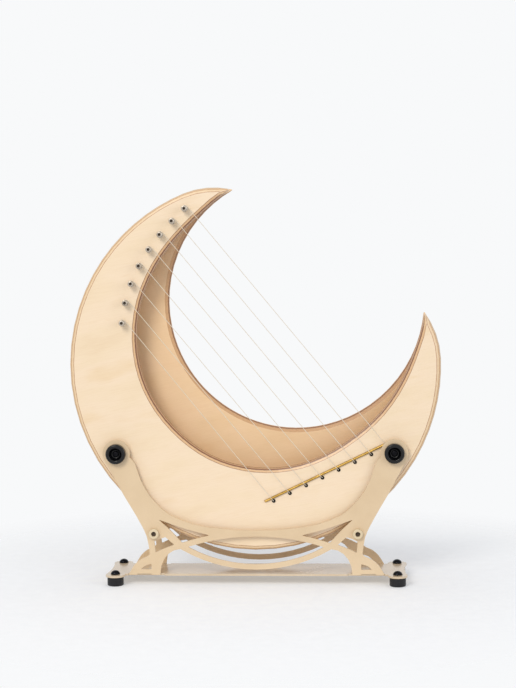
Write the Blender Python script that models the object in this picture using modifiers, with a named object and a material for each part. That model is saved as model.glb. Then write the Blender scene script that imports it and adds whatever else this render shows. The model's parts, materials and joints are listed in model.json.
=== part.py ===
"""Crescent lyre harp with eight strings, held in a two-frame metal stand.

Metres, +Z up. The origin is on the floor, midway between the four feet.
X runs to the player's right and the harp faces -Y.
The harp's outline is laid out in polar form about the centre of the moon's circle.
Angles along it are sweep angles: 0 at the right horn's tip, growing clockwise
round the bottom of the moon to the upper horn's tip.
"""

import math

import bmesh
import bpy
from mathutils import Matrix, Vector

# Fits
TOUCH_GAP = 0.0003
STRING_GAP = 0.0003
COIL_GAP = 0.0006

# Feet and base plate
FOOT_HEIGHT = 0.0105
FOOT_RADIUS = 0.0098
FOOT_Y = 0.0350
FOOT_HOLE_RADIUS = 0.0027
FOOT_BORE_FLOOR = 0.0035
BASE_THICKNESS = 0.0025
BASE_END_REACH = 0.0087
EAR_RADIUS = 0.0117
EAR_OUTSET = 0.0162
NOTCH_LEAD = 0.0054
NOTCH_FIT = 0.0008

# Moon body
MOON_RADIUS = 0.2230
MOON_LIFT = 0.0270
BODY_DEPTH = 0.0480
PLATE_THICKNESS = 0.0070
EDGE_ROUND = 0.0055
RIGHT_TIP_DEG = 17.0
TOP_TIP_DEG = 96.9
TIP_DRAW = 0.0100
TIP_SPAN_DEG = 15.0
TIP_TRIM_DEG = 0.5
BACK_OPENING_OFFSET = 0.0731
# Sweep angle and width of the front plate, measured in from the full circle
FRONT_WIDTHS = [(13.7, 0.0336), (34.9, 0.0594), (58.0, 0.0807), (90.5, 0.0958),
                (120.7, 0.1023), (159.1, 0.1010), (196.2, 0.0860), (229.5, 0.0651),
                (254.4, 0.0456), (268.2, 0.0301)]

# Inside the body
RIB_THICKNESS = 0.0050
RIB_SETBACK = 0.0006
RIB_TRIM_DEG = 3.0
PIN_BLOCK_THICKNESS = 0.0200
PIN_BLOCK_WIDTH = 0.0200
PIN_BLOCK_MARGIN_DEG = 2.7
PIN_BLOCK_CLEARANCE = 0.0007
SLEEVE_RADIUS = 0.0045
TAIL_BLOCK_THICKNESS = 0.0080
TAIL_BLOCK_WIDTH = 0.0060
TAIL_BLOCK_MARGIN = 0.0026
TAIL_BLOCK_ROUND = 0.0028

# Tuning pins
STRING_COUNT = 8
PIN_RADIUS = 0.0031
PIN_INSET = 0.0168
PIN_FIRST_DEG = 264.1
PIN_STEP_DEG = 5.5
PIN_STEP_GROWTH_DEG = 0.2
PIN_DEPTH = 0.0240
PIN_NECK_LENGTH = 0.0084
PIN_HEAD_LENGTH = 0.0046
PIN_HEAD_RADIUS = 0.0035
PIN_SOCKET_RADIUS = 0.0016
PIN_SOCKET_DEPTH = 0.0022

# Bridge bar, string holes and strings
BAR_RADIUS = 0.0015
BAR_GROOVE = 0.0005
BAR_START_X = 0.0112
BAR_START_DROP = 0.1632
BAR_SLOPE_DEG = 25.5
BAR_OVERHANG = 0.0100
STRING_PITCH = 0.0217
STRING_RADIUS = 0.00035
GROMMET_RADIUS = 0.0019
GROMMET_BORE = 0.0010
GROMMET_RIM = 0.0006
BALL_RADIUS = 0.0020
BALL_LENGTH = 0.0030
COIL_TURNS = 2.0
COIL_POINTS = 18
COIL_FOOT = 0.0048

# Stand frames
FRAME_THICKNESS = 0.0025
STANDOFF = 0.0050
MOUNT_INSET = 0.0263
MOUNT_BELOW_DEG = 31.9
HEAD_RADIUS = 0.0166
MOUNT_HOLE_RADIUS = 0.0033
CROSS_OUTSET = 0.0126
CROSS_BELOW_DEG = 58.6
CROSS_HOLE_RADIUS = 0.0028
LOWER_ARC_RADIUS = 0.1785
LOWER_ARC_WIDTH = 0.0065
LOWER_ARC_LIFT = 0.0052
CROTCH_INSET = 0.0319
WEB_OVERLAP = 0.0257
WEB_WIDTH = 0.0073
STRIP_RADIUS = 0.2700
LEG_INSET = 0.0070
LEG_WIDTH = 0.0106
TOE_TAB_OUTSET = 0.0212
TOE_OUTSET = 0.0310
TOE_HOLE_LENGTH = 0.0124
TAB_DEPTH = 0.0015
VALLEY_OUTSET = 0.0053
VALLEY_RISE = 0.0240
LEAF_LOW_INSET = 0.0338
LEAF_IN_INSET = 0.0678
CUT_ROUND = 0.0008
FRAME_CORNER = 0.0010
BASE_CORNER = 0.0012
CORNER_SHARP_DEG = 40

# Fasteners of the stand
CUP_RADIUS = 0.0120
CUP_HEIGHT = 0.0085
CUP_BOWL_RADIUS = 0.0078
CUP_FLOOR_RADIUS = 0.0050
CUP_FLOOR = 0.0030
BOLT_RADIUS = 0.0030
BOLT_HEAD_RADIUS = 0.0041
BOLT_HEAD_HEIGHT = 0.0016
WASHER_RADIUS = 0.0058
TUBE_RADIUS = 0.0055
SCREW_RADIUS = 0.0025
SCREW_HEAD_RADIUS = 0.0062
SCREW_HEAD_HEIGHT = 0.0045
SCREW_SOCKET_RADIUS = 0.0031
SCREW_SOCKET_DEPTH = 0.0036
SCREW_LENGTH = 0.0120
DOME_RADIUS = 0.0057
DOME_HEIGHT = 0.0045

# Fineness
PLATE_STATIONS = 52
ROUND_STEPS = 20
SMALL_STEPS = 12
TINY_STEPS = 8

# Worked out from the sizes above
BODY_HALF = BODY_DEPTH / 2
INNER_HALF = BODY_HALF - PLATE_THICKNESS
FRAME_IN_Y = BODY_HALF + STANDOFF
FRAME_OUT_Y = FRAME_IN_Y + FRAME_THICKNESS
BASE_BOTTOM_Z = FOOT_HEIGHT + TOUCH_GAP
BASE_TOP_Z = BASE_BOTTOM_Z + BASE_THICKNESS
MOON_CENTRE_Z = BASE_TOP_Z + MOON_LIFT + MOON_RADIUS
CROSS_X = (MOON_RADIUS + CROSS_OUTSET) * math.cos(math.radians(CROSS_BELOW_DEG))
CROTCH_X = CROSS_X - CROTCH_INSET
LEG_START_X = CROSS_X - LEG_INSET
LEG_END_X = LEG_START_X + LEG_WIDTH
TOE_TAB_X = CROSS_X + TOE_TAB_OUTSET
TOE_X = CROSS_X + TOE_OUTSET
VALLEY_X = CROSS_X + VALLEY_OUTSET
NOTCH_START_X = LEG_START_X - NOTCH_LEAD
NOTCH_END_X = TOE_X + NOTCH_FIT
FOOT_X = TOE_X + EAR_OUTSET
BASE_HALF_LENGTH = FOOT_X + BASE_END_REACH
SWEEP_DEG = 360.0 + RIGHT_TIP_DEG - TOP_TIP_DEG


# Scene housekeeping

def clear_scene():
    for obj in list(bpy.data.objects):
        bpy.data.objects.remove(obj, do_unlink=True)


def make_collection(name):
    collection = bpy.data.collections.new(name)
    bpy.context.scene.collection.children.link(collection)
    return collection


def finish(name, colour, roughness, metallic=0.0):
    material = bpy.data.materials.new(name)
    material.use_nodes = True
    shader = material.node_tree.nodes["Principled BSDF"]
    shader.inputs["Base Color"].default_value = (*colour, 1.0)
    shader.inputs["Roughness"].default_value = roughness
    shader.inputs["Metallic"].default_value = metallic
    material.diffuse_color = (*colour, 1.0)
    return material


clear_scene()
HARP = make_collection("crescent_lyre_harp")
CUTTERS = make_collection("cutters")

BIRCH = finish("birch_plywood", (0.86, 0.71, 0.52), 0.55)
BEECH = finish("beech_block", (0.66, 0.46, 0.30), 0.6)
BEIGE_STEEL = finish("beige_powder_coat", (0.72, 0.57, 0.38), 0.45)
BRASS = finish("brass", (0.83, 0.62, 0.25), 0.28, 1.0)
NICKEL = finish("nickel_plate", (0.78, 0.76, 0.72), 0.22, 1.0)
NYLON = finish("string_nylon", (0.85, 0.80, 0.74), 0.35)
BLACK_PLASTIC = finish("black_plastic", (0.012, 0.012, 0.014), 0.25)
BLACK_RUBBER = finish("black_rubber", (0.02, 0.02, 0.022), 0.7)
BLACK_STEEL = finish("black_steel", (0.02, 0.02, 0.02), 0.3, 0.6)


def place(name, mesh, material, location=(0, 0, 0), rotation=(0, 0, 0)):
    """Link a mesh as one named sub-part."""
    obj = bpy.data.objects.new(name, mesh)
    obj.location = location
    obj.rotation_euler = rotation
    mesh.materials.clear()
    mesh.materials.append(material)
    HARP.objects.link(obj)
    return obj


FACE_FRONT = (math.radians(90), 0, 0)
FACE_BACK = (math.radians(-90), 0, 0)


# Shape tools

def smooth_run(points, steps=4):
    """Catmull-Rom curve through the points, ends included."""
    run = []
    last = len(points) - 1
    for i in range(last):
        p0 = Vector(points[max(i - 1, 0)])
        p1 = Vector(points[i])
        p2 = Vector(points[i + 1])
        p3 = Vector(points[min(i + 2, last)])
        for k in range(steps):
            t = k / steps
            run.append(0.5 * (2 * p1 + (p2 - p0) * t + (2 * p0 - 5 * p1 + 4 * p2 - p3) * t ** 2
                              + (3 * p1 - p0 - 3 * p2 + p3) * t ** 3))
    run.append(Vector(points[last]))
    return run


def interpolate(table, x):
    """Smooth value of a table of (x, value) pairs at x."""
    xs = [row[0] for row in table]
    ys = [row[1] for row in table]
    i = 0
    while i < len(xs) - 2 and x > xs[i + 1]:
        i += 1

    def slope(k):
        low = max(k - 1, 0)
        high = min(k + 1, len(xs) - 1)
        return (ys[high] - ys[low]) / (xs[high] - xs[low])

    span = xs[i + 1] - xs[i]
    t = (x - xs[i]) / span
    rise = ys[i + 1] - ys[i]
    a = slope(i) * span - rise
    b = rise - slope(i + 1) * span
    return ys[i] + rise * t + t * (1 - t) * ((1 - t) * a + t * b)


def arc(centre, radius, start_deg, end_deg, steps):
    angles = [math.radians(start_deg + (end_deg - start_deg) * k / steps) for k in range(steps + 1)]
    return [Vector((centre[0] + radius * math.cos(a), centre[1] + radius * math.sin(a)))
            for a in angles]


def circle(centre, radius, steps=ROUND_STEPS):
    return arc(centre, radius, 0, 360, steps)[:-1]


def round_corners(loop, radius, sharp_deg=28):
    """Replace each sharp corner of a closed loop by a short curve."""
    out = []
    count = len(loop)
    for i in range(count):
        before = loop[i - 1] - loop[i]
        after = loop[(i + 1) % count] - loop[i]
        turn = math.pi - before.angle(after)
        if turn < math.radians(sharp_deg):
            out.append(loop[i])
            continue
        back = min(radius * math.tan(turn / 2), 0.45 * before.length, 0.45 * after.length)
        start = loop[i] + before.normalized() * back
        end = loop[i] + after.normalized() * back
        for k in range(3):
            t = k / 2
            out.append(start * (1 - t) ** 2 + loop[i] * 2 * t * (1 - t) + end * t ** 2)
    return out


def mirrored(loop):
    return [Vector((-p[0], p[1])) for p in reversed(loop)]


def both_halves(half):
    """Close a right half that starts and ends on the centre line."""
    return half + mirrored(half)[1:-1]


def flat_mesh(name, loops, thickness):
    """Flat outline with holes, in local XY, centred on local Z = 0."""
    curve = bpy.data.curves.new(name, "CURVE")
    curve.dimensions = "2D"
    curve.fill_mode = "BOTH"
    curve.extrude = thickness / 2
    for loop in loops:
        spline = curve.splines.new("POLY")
        spline.points.add(len(loop) - 1)
        for point, target in zip(spline.points, loop):
            point.co = (target[0], target[1], 0, 1)
        spline.use_cyclic_u = True
    return welded_mesh(name, curve)


def welded_mesh(name, curve):
    """Turn a curve into a closed mesh."""
    holder = bpy.data.objects.new(name, curve)
    CUTTERS.objects.link(holder)
    depsgraph = bpy.context.evaluated_depsgraph_get()
    mesh = bpy.data.meshes.new_from_object(holder.evaluated_get(depsgraph))
    bpy.data.objects.remove(holder)
    bpy.data.curves.remove(curve)
    work = bmesh.new()
    work.from_mesh(mesh)
    bmesh.ops.remove_doubles(work, verts=work.verts, dist=1e-7)
    bmesh.ops.recalc_face_normals(work, faces=work.faces)
    work.to_mesh(mesh)
    work.free()
    return mesh


def tube_mesh(name, points, radius, resolution, swells):
    """Round tube through the points; a swell scales its radius at a point."""
    curve = bpy.data.curves.new(name, "CURVE")
    curve.dimensions = "3D"
    curve.bevel_depth = radius
    curve.bevel_resolution = resolution
    curve.use_fill_caps = True
    spline = curve.splines.new("POLY")
    spline.points.add(len(points) - 1)
    for point, target, swell in zip(spline.points, points, swells):
        point.co = (*target, 1)
        point.radius = swell
    return welded_mesh(name, curve)


def skin_mesh(name, sections):
    """Closed body through equal closed sections, with both ends capped."""
    work = bmesh.new()
    rings = [[work.verts.new(p) for p in section] for section in sections]
    count = len(sections[0])
    for ring, following in zip(rings, rings[1:]):
        for k in range(count):
            n = (k + 1) % count
            work.faces.new((ring[k], ring[n], following[n], following[k]))
    work.faces.new(list(reversed(rings[0])))
    work.faces.new(rings[-1])
    bmesh.ops.recalc_face_normals(work, faces=work.faces)
    mesh = bpy.data.meshes.new(name)
    work.to_mesh(mesh)
    work.free()
    return mesh


def turned(name, profile, material, location, rotation=(0, 0, 0), steps=ROUND_STEPS, closed=True):
    """Solid of revolution about local Z. A closed profile leaves a bore, and an open
    one starts and ends on the axis."""
    mesh = bpy.data.meshes.new(name)
    count = len(profile)
    edges = [(k, k + 1) for k in range(count - 1)]
    if closed:
        edges.append((count - 1, 0))
    mesh.from_pydata([(r, 0, z) for r, z in profile], edges, [])
    obj = place(name, mesh, material, location, rotation)
    screw = obj.modifiers.new("turn", "SCREW")
    screw.axis = "Z"
    screw.steps = steps
    screw.render_steps = steps
    screw.use_merge_vertices = True
    screw.merge_threshold = 0.00001
    return obj


def shade(obj, angle_deg=35):
    obj.data.shade_smooth()
    obj.data.set_sharp_from_angle(angle=math.radians(angle_deg))


def cylinder_mesh(name, centre, radius, y_low, y_high, steps=SMALL_STEPS):
    """Cylinder along Y between two depths, at centre (x, z)."""
    work = bmesh.new()
    bmesh.ops.create_cone(work, cap_ends=True, segments=steps, radius1=radius, radius2=radius,
                          depth=y_high - y_low)
    turn = Matrix.Rotation(math.radians(90), 4, "X")
    shift = Matrix.Translation((centre[0], (y_low + y_high) / 2, centre[1]))
    bmesh.ops.transform(work, matrix=shift @ turn, verts=work.verts)
    mesh = bpy.data.meshes.new(name)
    work.to_mesh(mesh)
    work.free()
    return mesh


def joined(name, meshes):
    """Several separate solids in one mesh."""
    work = bmesh.new()
    for mesh in meshes:
        work.from_mesh(mesh)
    out = bpy.data.meshes.new(name)
    work.to_mesh(out)
    work.free()
    return out


def cut(obj, cutter_meshes):
    """Take the cutters away from the object."""
    cutter = bpy.data.objects.new(obj.name + "_cutter", joined(obj.name + "_cutter", cutter_meshes))
    CUTTERS.objects.link(cutter)
    cutter.hide_render = True
    cutter.display_type = "WIRE"
    step = obj.modifiers.new("holes", "BOOLEAN")
    step.operation = "DIFFERENCE"
    step.solver = "EXACT"
    step.object = cutter


# Outline of the moon

def moon_point(sweep_deg, radius):
    angle = math.radians(RIGHT_TIP_DEG - sweep_deg)
    return Vector((radius * math.cos(angle), MOON_CENTRE_Z + radius * math.sin(angle)))


def outer_radius(sweep_deg):
    from_tip = min(sweep_deg, SWEEP_DEG - sweep_deg)
    share = max(0.0, 1.0 - from_tip / TIP_SPAN_DEG)
    return MOON_RADIUS - TIP_DRAW * share ** 2


def front_radius(sweep_deg):
    table = [(0.0, TIP_DRAW)] + FRONT_WIDTHS + [(SWEEP_DEG, TIP_DRAW)]
    return MOON_RADIUS - interpolate(table, sweep_deg)


def opening_circle():
    """Centre and radius of the back opening's circle, which passes through both tips."""
    right = moon_point(0.0, outer_radius(0.0))
    top = moon_point(SWEEP_DEG, outer_radius(SWEEP_DEG))
    chord = top - right
    away = Vector((-chord.y, chord.x)).normalized()
    centre = (right + top) / 2 + away * BACK_OPENING_OFFSET
    return centre, (centre - right).length


OPENING, OPENING_RADIUS = opening_circle()


def back_radius(sweep_deg):
    """Distance from the moon's centre to the back opening's circle."""
    angle = math.radians(RIGHT_TIP_DEG - sweep_deg)
    ray = Vector((math.cos(angle), math.sin(angle)))
    offset = OPENING - Vector((0, MOON_CENTRE_Z))
    along = offset.dot(ray)
    return along + math.sqrt(along ** 2 - offset.length_squared + OPENING_RADIUS ** 2)


def lean(radius_at, sweep_deg):
    """How much longer a radial step is than the same step square to the outline."""
    step = 0.05
    low = max(sweep_deg - step, 0.0)
    high = min(sweep_deg + step, SWEEP_DEG)
    slope = (radius_at(high) - radius_at(low)) / math.radians(high - low) / radius_at(sweep_deg)
    return math.sqrt(1 + slope ** 2)


def stations(start_deg, end_deg, count):
    """Sweep angles that crowd a little towards both ends."""
    out = []
    for k in range(count + 1):
        share = k / count
        eased = 0.5 - 0.5 * math.cos(math.pi * share)
        out.append(start_deg + (end_deg - start_deg) * (0.6 * share + 0.4 * eased))
    return out


def quarter_round(radius, depth, steps=2):
    """Insets and depths of a rounded edge, from the flat face to the side."""
    turns = [math.radians(90 * k / steps) for k in range(steps + 1)]
    return [(radius * (1 - math.sin(a)), depth * (1 - math.cos(a))) for a in turns]


def crescent_mesh(name, inner_at, outer_edge, inner_edge):
    """Crescent plate from edge profiles of (inset, y), front to back."""
    sections = []
    for sweep in stations(TIP_TRIM_DEG, SWEEP_DEG - TIP_TRIM_DEG, PLATE_STATIONS):
        outer = outer_radius(sweep)
        inner = inner_at(sweep)
        room = (outer - inner) / 2 - TOUCH_GAP
        outer_lean = lean(outer_radius, sweep)
        inner_lean = lean(inner_at, sweep)
        outer_share = min(1.0, room / (EDGE_ROUND * outer_lean))
        inner_share = min(1.0, room / (EDGE_ROUND * inner_lean))
        section = []
        for inset, y in outer_edge:
            p = moon_point(sweep, outer - inset * outer_lean * outer_share)
            section.append((p.x, y, p.y))
        for inset, y in reversed(inner_edge):
            p = moon_point(sweep, inner + inset * inner_lean * inner_share)
            section.append((p.x, y, p.y))
        sections.append(section)
    return skin_mesh(name, sections)


def band_mesh(name, start_deg, end_deg, count, low_at, high_at, y_low, y_high):
    """Curved block between two radii and two depths."""
    sections = []
    for k in range(count + 1):
        sweep = start_deg + (end_deg - start_deg) * k / count
        low = moon_point(sweep, low_at(sweep))
        high = moon_point(sweep, high_at(sweep))
        sections.append([(low.x, y_low, low.y), (high.x, y_low, high.y),
                         (high.x, y_high, high.y), (low.x, y_high, low.y)])
    return skin_mesh(name, sections)


# Places of the pins, string holes and mounts

def pin_sweep(index):
    return PIN_FIRST_DEG - PIN_STEP_DEG * index - PIN_STEP_GROWTH_DEG * index ** 2


def pin_radius_at(sweep_deg):
    return front_radius(sweep_deg) + PIN_INSET * lean(front_radius, sweep_deg)


def pin_place(index):
    sweep = pin_sweep(index)
    return moon_point(sweep, pin_radius_at(sweep))


def bar_direction():
    slope = math.radians(BAR_SLOPE_DEG)
    return Vector((math.cos(slope), math.sin(slope)))


def bar_point(distance, below=0.0):
    """Point along the bar from its left end, and square below it."""
    along = bar_direction()
    down = Vector((along.y, -along.x))
    start = Vector((BAR_START_X, MOON_CENTRE_Z - BAR_START_DROP))
    return start + along * distance + down * below


BAR_LENGTH = 2 * BAR_OVERHANG + STRING_PITCH * (STRING_COUNT - 1)
HOLE_DROP = BAR_RADIUS + TOUCH_GAP + GROMMET_RADIUS + GROMMET_RIM / 2
BAR_Y = -BODY_HALF - BAR_RADIUS + BAR_GROOVE


def string_hole(index):
    """Hole of string 1 is the one nearest the right arm."""
    return bar_point(BAR_OVERHANG + STRING_PITCH * (STRING_COUNT - 1 - index), HOLE_DROP)


def mount_place(side):
    angle = math.radians(-MOUNT_BELOW_DEG)
    radius = MOON_RADIUS - MOUNT_INSET
    return Vector((side * radius * math.cos(angle), MOON_CENTRE_Z + radius * math.sin(angle)))


def cross_place(side):
    angle = math.radians(-CROSS_BELOW_DEG)
    radius = MOON_RADIUS + CROSS_OUTSET
    return Vector((side * radius * math.cos(angle), MOON_CENTRE_Z + radius * math.sin(angle)))


SIDES = {"left": -1, "right": 1}
FACES = {"front": -1, "back": 1}


# Body of the harp

def make_front_plate():
    front = -BODY_HALF
    edge = [(inset, front + depth) for inset, depth in quarter_round(EDGE_ROUND, EDGE_ROUND)]
    edge.append((0.0, -INNER_HALF))
    plate = place("front_plate", crescent_mesh("front_plate", front_radius, edge, edge), BIRCH)
    y_low = front - 0.002
    y_high = -INNER_HALF + 0.002
    cutters = [cylinder_mesh("c", pin_place(k), PIN_RADIUS + TOUCH_GAP, y_low, y_high)
               for k in range(STRING_COUNT)]
    cutters += [cylinder_mesh("c", string_hole(k), GROMMET_RADIUS + TOUCH_GAP, y_low, y_high, TINY_STEPS)
                for k in range(STRING_COUNT)]
    cutters += [cylinder_mesh("c", mount_place(s), MOUNT_HOLE_RADIUS, y_low, y_high)
                for s in SIDES.values()]
    cutters.append(bar_mesh("c", BAR_RADIUS + TOUCH_GAP, TOUCH_GAP))
    cut(plate, cutters)
    shade(plate)


def make_back_plate():
    mid = INNER_HALF + PLATE_THICKNESS / 2
    nose = quarter_round(EDGE_ROUND, PLATE_THICKNESS / 2)
    inner = [(inset, INNER_HALF + depth) for inset, depth in nose]
    inner += [(inset, 2 * mid - y) for inset, y in reversed(inner[:-1])]
    back = quarter_round(EDGE_ROUND, EDGE_ROUND)
    outer = [(0.0, INNER_HALF)] + [(inset, BODY_HALF - depth) for inset, depth in reversed(back)]
    plate = place("back_plate", crescent_mesh("back_plate", back_radius, outer, inner), BIRCH)
    cut(plate, [cylinder_mesh("c", mount_place(s), MOUNT_HOLE_RADIUS, INNER_HALF - 0.002,
                              BODY_HALF + 0.002) for s in SIDES.values()])
    shade(plate)


def rib_outer(sweep_deg):
    return outer_radius(sweep_deg) - RIB_SETBACK


def rib_inner(sweep_deg):
    return rib_outer(sweep_deg) - RIB_THICKNESS


def make_rib_and_pin_block():
    y = INNER_HALF - TOUCH_GAP
    rib = band_mesh("outer_rib", RIB_TRIM_DEG, SWEEP_DEG - RIB_TRIM_DEG, PLATE_STATIONS,
                    rib_inner, rib_outer, -y, y)
    shade(place("outer_rib", rib, BIRCH))

    half = PIN_BLOCK_WIDTH / 2
    first = pin_sweep(STRING_COUNT - 1) - PIN_BLOCK_MARGIN_DEG
    last = pin_sweep(0) + PIN_BLOCK_MARGIN_DEG
    block = band_mesh("pin_block", first, last, 14, lambda s: pin_radius_at(s) - half,
                      lambda s: min(pin_radius_at(s) + half, rib_inner(s) - PIN_BLOCK_CLEARANCE),
                      -y, -y + PIN_BLOCK_THICKNESS)
    pin_block = place("pin_block", block, BEECH)
    cut(pin_block, [cylinder_mesh("c", pin_place(k), PIN_RADIUS + TOUCH_GAP, -INNER_HALF - 0.002,
                                  -y + PIN_BLOCK_THICKNESS + 0.002) for k in range(STRING_COUNT)])
    shade(pin_block)


def make_sleeves():
    """Metal tubes between the plates that keep the mount bolts from crushing the body."""
    y = INNER_HALF - TOUCH_GAP
    profile = [(SLEEVE_RADIUS, y), (SLEEVE_RADIUS, -y), (MOUNT_HOLE_RADIUS, -y),
               (MOUNT_HOLE_RADIUS, y)]
    for side, sign in SIDES.items():
        centre = mount_place(sign)
        shade(turned("mount_sleeve_" + side, profile, BLACK_STEEL, (centre.x, 0, centre.y), FACE_FRONT))


def make_tail_block():
    """Hardwood strip glued behind the plate, where the strings pull."""
    half = TAIL_BLOCK_WIDTH / 2
    low = BAR_OVERHANG - TAIL_BLOCK_MARGIN
    high = BAR_LENGTH - low
    corners = [bar_point(low, HOLE_DROP - half), bar_point(low, HOLE_DROP + half),
               bar_point(high, HOLE_DROP + half), bar_point(high, HOLE_DROP - half)]
    holes = [circle(string_hole(k), GROMMET_BORE, TINY_STEPS) for k in range(STRING_COUNT)]
    mesh = flat_mesh("tail_block", [round_corners(corners, TAIL_BLOCK_ROUND)] + holes, TAIL_BLOCK_THICKNESS)
    y = -INNER_HALF + TOUCH_GAP + TAIL_BLOCK_THICKNESS / 2
    place("tail_block", mesh, BEECH, (0, y, 0), FACE_FRONT)


# Bridge bar and strings

def bar_mesh(name, radius, grow=0.0):
    """Round brass bar along the slope of the string holes."""
    work = bmesh.new()
    bmesh.ops.create_cone(work, cap_ends=True, segments=SMALL_STEPS, radius1=radius,
                          radius2=radius, depth=BAR_LENGTH + 2 * grow)
    middle = bar_point(BAR_LENGTH / 2)
    lie = Matrix.Rotation(math.radians(90), 4, "Y")
    tilt = Matrix.Rotation(math.radians(-BAR_SLOPE_DEG), 4, "Y")
    shift = Matrix.Translation((middle.x, BAR_Y, middle.y))
    bmesh.ops.transform(work, matrix=shift @ tilt @ lie, verts=work.verts)
    mesh = bpy.data.meshes.new(name)
    work.to_mesh(mesh)
    work.free()
    return mesh


def make_bridge():
    bar = place("bridge_bar", bar_mesh("bridge_bar", BAR_RADIUS), BRASS)
    bevel = bar.modifiers.new("ends", "BEVEL")
    bevel.width = 0.0004
    bevel.segments = 1
    bevel.limit_method = "ANGLE"
    bevel.angle_limit = math.radians(60)
    shade(bar)


def make_grommets():
    """Flanged bushes that line the string holes of the front plate."""
    rim = GROMMET_RADIUS + GROMMET_RIM / 2
    shank = PLATE_THICKNESS
    grommet = [(rim, TOUCH_GAP + GROMMET_RIM), (rim, TOUCH_GAP), (GROMMET_RADIUS, TOUCH_GAP),
               (GROMMET_RADIUS, -shank), (GROMMET_BORE, -shank),
               (GROMMET_BORE, TOUCH_GAP + GROMMET_RIM)]
    for k in range(STRING_COUNT):
        hole = string_hole(k)
        shade(turned("string_grommet_%d" % (k + 1), grommet, BLACK_PLASTIC,
                     (hole.x, -BODY_HALF, hole.y), FACE_FRONT, TINY_STEPS))


def string_route(index):
    """Coil on the pin, straight run, bend over the bar and down through the plate."""
    pin = pin_place(index)
    hole = string_hole(index)
    coil_radius = PIN_RADIUS + STRING_GAP + STRING_RADIUS
    pitch = 2 * STRING_RADIUS + COIL_GAP
    foot_y = -BODY_HALF - COIL_FOOT

    run = hole - pin
    reach = run.length
    away = math.asin(coil_radius / reach)
    heading = math.atan2(run.y, run.x)
    leave = heading + math.pi / 2 + away
    points = []
    count = round(COIL_TURNS * COIL_POINTS)
    for k in range(count, -1, -1):
        angle = leave + 2 * math.pi * k / COIL_POINTS
        rise = pitch * max(0.0, k / COIL_POINTS - 0.1)
        points.append(Vector((pin.x + coil_radius * math.cos(angle), foot_y - rise,
                              pin.y + coil_radius * math.sin(angle))))

    start = Vector((points[-1].x, points[-1].z))
    direction = (hole - start).normalized()
    across = abs(direction.x * bar_direction().y - direction.y * bar_direction().x)
    ride = BAR_RADIUS + STRING_GAP + STRING_RADIUS
    over_bar = hole - direction * (HOLE_DROP / across)
    for turn_deg in (0, 20, 40, 60):
        turn = math.radians(turn_deg)
        flat = over_bar + direction * (ride * math.sin(turn) / across)
        points.append(Vector((flat.x, BAR_Y - ride * math.cos(turn), flat.y)))
    rim_y = -BODY_HALF - TOUCH_GAP - GROMMET_RIM - STRING_GAP - STRING_RADIUS
    points.append(Vector((hole.x, rim_y, hole.y)))
    ball_y = -INNER_HALF + 2 * TOUCH_GAP + TAIL_BLOCK_THICKNESS
    for depth in (ball_y, ball_y + TOUCH_GAP, ball_y + BALL_LENGTH):
        points.append(Vector((hole.x, depth, hole.y)))
    return points


def least_self_gap(points, radius):
    """Smallest clear distance between stretches of the tube more than half a turn apart."""
    least = 1.0
    skip = COIL_POINTS // 2
    for i in range(len(points)):
        for j in range(i + skip, len(points)):
            least = min(least, (points[i] - points[j]).length - 2 * radius)
    return least


def make_strings():
    for k in range(STRING_COUNT):
        name = "string_%d" % (k + 1)
        points = string_route(k)
        swell = BALL_RADIUS / STRING_RADIUS
        swells = [1.0] * (len(points) - 2) + [swell, swell]
        string = place(name, tube_mesh(name, points, STRING_RADIUS, 1, swells), NYLON)
        shade(string, 60)
        length = sum((b - a).length for a, b in zip(points, points[1:]))
        print("%s: %.0f mm long, least gap to itself %.2f mm"
              % (name, length * 1000, least_self_gap(points, STRING_RADIUS) * 1000))


def make_tuning_pins():
    """Steel pins with a plain neck for the string and a round head with a key socket."""
    neck = PIN_NECK_LENGTH
    top = neck + PIN_HEAD_LENGTH
    edge = 0.0005
    profile = [(0.0, top - PIN_SOCKET_DEPTH), (PIN_SOCKET_RADIUS, top - PIN_SOCKET_DEPTH),
               (PIN_SOCKET_RADIUS, top), (PIN_HEAD_RADIUS - edge, top),
               (PIN_HEAD_RADIUS, top - edge), (PIN_HEAD_RADIUS, neck), (PIN_RADIUS, neck),
               (PIN_RADIUS, edge - PIN_DEPTH), (PIN_RADIUS - edge, -PIN_DEPTH), (0.0, -PIN_DEPTH)]
    for k in range(STRING_COUNT):
        centre = pin_place(k)
        shade(turned("tuning_pin_%d" % (k + 1), profile, NICKEL, (centre.x, -BODY_HALF, centre.y),
                     FACE_FRONT, SMALL_STEPS, closed=False))


# Stand

def base_outline():
    """Plate with a round ear at each corner, hollow ends and notches for the frames."""
    depth = FRAME_OUT_Y
    floor = FRAME_IN_Y - TOUCH_GAP
    join = math.degrees(math.asin((FOOT_Y - depth) / EAR_RADIUS))
    edge = [Vector((0, depth)), Vector((NOTCH_START_X, depth)), Vector((NOTCH_START_X, floor)),
            Vector((NOTCH_END_X, floor)), Vector((NOTCH_END_X, depth))]
    ear = arc((FOOT_X, FOOT_Y), EAR_RADIUS, 180 + join, -25, 12)
    end = ear[-1]
    hollow = [Vector((BASE_HALF_LENGTH + (end.x - BASE_HALF_LENGTH) * (y / end.y) ** 2, y))
              for y in (end.y * 0.66, end.y * 0.33, 0.0)]
    quarter = edge + ear + hollow
    half = quarter + [Vector((p.x, -p.y)) for p in reversed(quarter[:-1])]
    whole = half + mirrored(half)[1:-1]
    return round_corners(whole, BASE_CORNER, CORNER_SHARP_DEG)


def make_base():
    z = BASE_BOTTOM_Z + BASE_THICKNESS / 2
    holes = [circle((sx * FOOT_X, sy * FOOT_Y), FOOT_HOLE_RADIUS, SMALL_STEPS)
             for sx in (-1, 1) for sy in (-1, 1)]
    mesh = flat_mesh("base_plate", [base_outline()] + holes, BASE_THICKNESS)
    place("base_plate", mesh, BEIGE_STEEL, (0, 0, z))


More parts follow.
